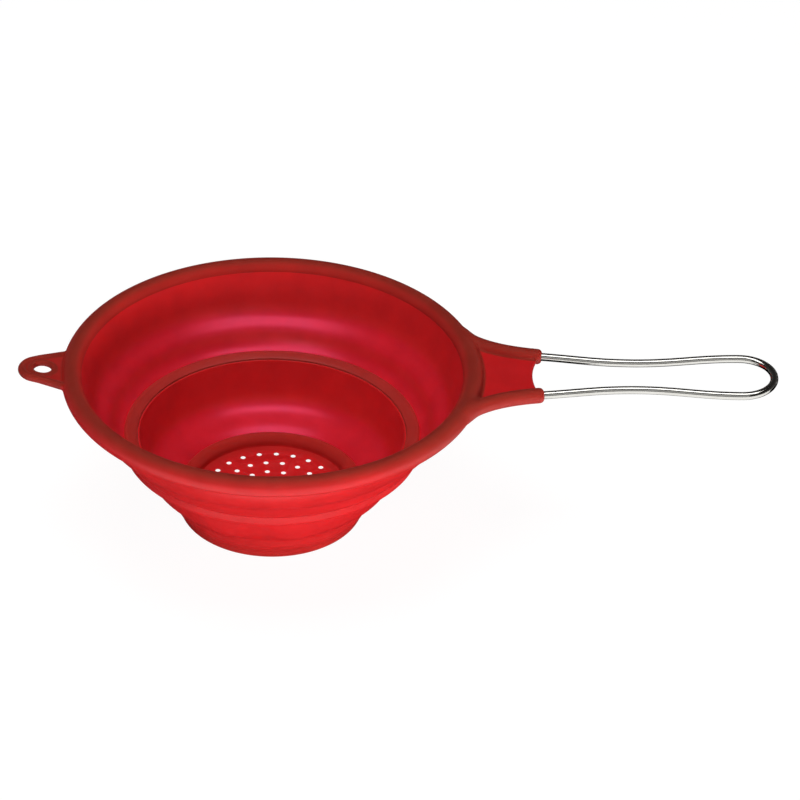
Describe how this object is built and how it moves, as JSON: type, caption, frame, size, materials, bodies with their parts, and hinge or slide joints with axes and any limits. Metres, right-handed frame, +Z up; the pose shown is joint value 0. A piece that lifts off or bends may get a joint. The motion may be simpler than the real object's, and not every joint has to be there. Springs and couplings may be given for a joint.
{
  "type": "collapsible silicone colander",
  "caption": "Round collapsible silicone colander with a wire loop handle, a hang tab, nesting tiers joined by thin folds, and a perforated strainer floor.",
  "frame": {"origin": "on the ground under the middle of the whole length, in the plane that halves the handle", "axes": "+X runs along the handle, away from the bowl, and +Z points up along the bowl's axis"},
  "size_m": [0.3608, 0.1998, 0.0813],
  "materials": {
    "silicone": "satin",
    "steel_wire": "polished"
  },
  "bodies": {
    "rim": {"rim_bead": "silicone", "wire_frame": "steel_wire", "handle_yoke": "silicone", "hang_tab": "silicone", "upper_wall": "silicone", "upper_fold": "silicone"},
    "middle": {"middle_tier": "silicone", "lower_fold": "silicone"},
    "base": {"base_tier": "silicone", "strainer_floor": "silicone"}
  },
  "joints": [
    {"name": "middle_tier_push", "type": "slide", "parent": "rim", "child": "middle", "axis": [0, 0, 1], "range_m": [0, 0.031], "deforming": ["upper_fold"]},
    {"name": "base_tier_push", "type": "slide", "parent": "middle", "child": "base", "axis": [0, 0, 1], "range_m": [0, 0.025], "deforming": ["lower_fold"]}
  ]
}
